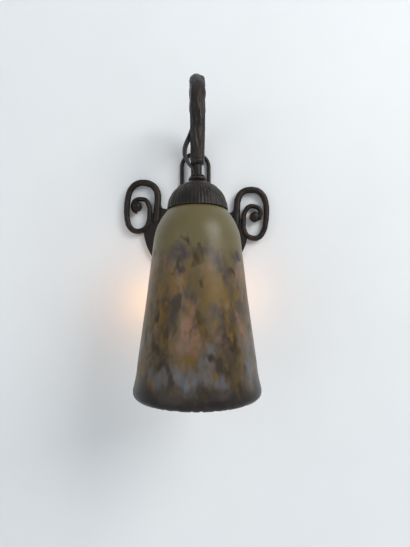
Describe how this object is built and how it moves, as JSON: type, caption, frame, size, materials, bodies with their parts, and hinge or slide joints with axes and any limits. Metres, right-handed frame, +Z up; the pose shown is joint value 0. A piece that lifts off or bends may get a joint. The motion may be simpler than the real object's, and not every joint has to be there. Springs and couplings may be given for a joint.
{
  "type": "wall sconce",
  "caption": "Wrought iron wall sconce: a crook arm on a scrolled wall plate carries a fluted cap and a tall mottled glass bell over a bulb.",
  "frame": {"origin": "on the wall, at the end of the boss at the middle of the wall plate's back", "axes": "+X right seen from the room, +Y into the wall, +Z up"},
  "size_m": [0.2202, 0.2246, 0.3912],
  "materials": {
    "blackened_iron": "waxed, worn at the edges",
    "blackened_steel": "satin",
    "twisted_flex": "matte",
    "black_rubber": "matte",
    "mottled_glass": "satin, mottled in olive, ochre, rose and blue grey",
    "grey_felt": "matte",
    "brass": "dull",
    "porcelain": "glazed",
    "lead_cover": "matte",
    "base_metal": "plated",
    "black_insulator": "glazed",
    "solder": "dull",
    "frosted_bulb": "frosted, lit warm",
    "clear_glass": "clear",
    "tungsten": "bare"
  },
  "bodies": {
    "sconce": {"wall_plate": "blackened_iron", "scroll_right": "blackened_iron", "scroll_left": "blackened_iron", "hanging_loop": "blackened_iron", "crook_arm": "blackened_iron", "arm_screws": "blackened_steel", "cord_keepers": "blackened_iron", "cord_grommet": "black_rubber", "supply_cord": "twisted_flex", "threaded_tube": "blackened_steel", "collar_ring": "blackened_iron", "shade_cap": "blackened_iron", "glass_shade": "mottled_glass", "seat_washer": "grey_felt", "holder_cap": "brass", "holder_skirt": "brass", "holder_core": "porcelain", "screw_shell": "brass", "centre_contact": "brass", "shade_ring": "brass", "lamp_leads": "lead_cover"},
    "bulb": {"bulb_base": "base_metal", "bulb_insulator": "black_insulator", "bulb_contact": "solder", "bulb_envelope": "frosted_bulb", "filament_stem": "clear_glass", "filament": "tungsten"}
  },
  "joints": [
    {"name": "bulb_removal", "type": "slide", "parent": "sconce", "child": "bulb", "axis": [0, 0, -1], "range_m": [0, 0.024]}
  ]
}
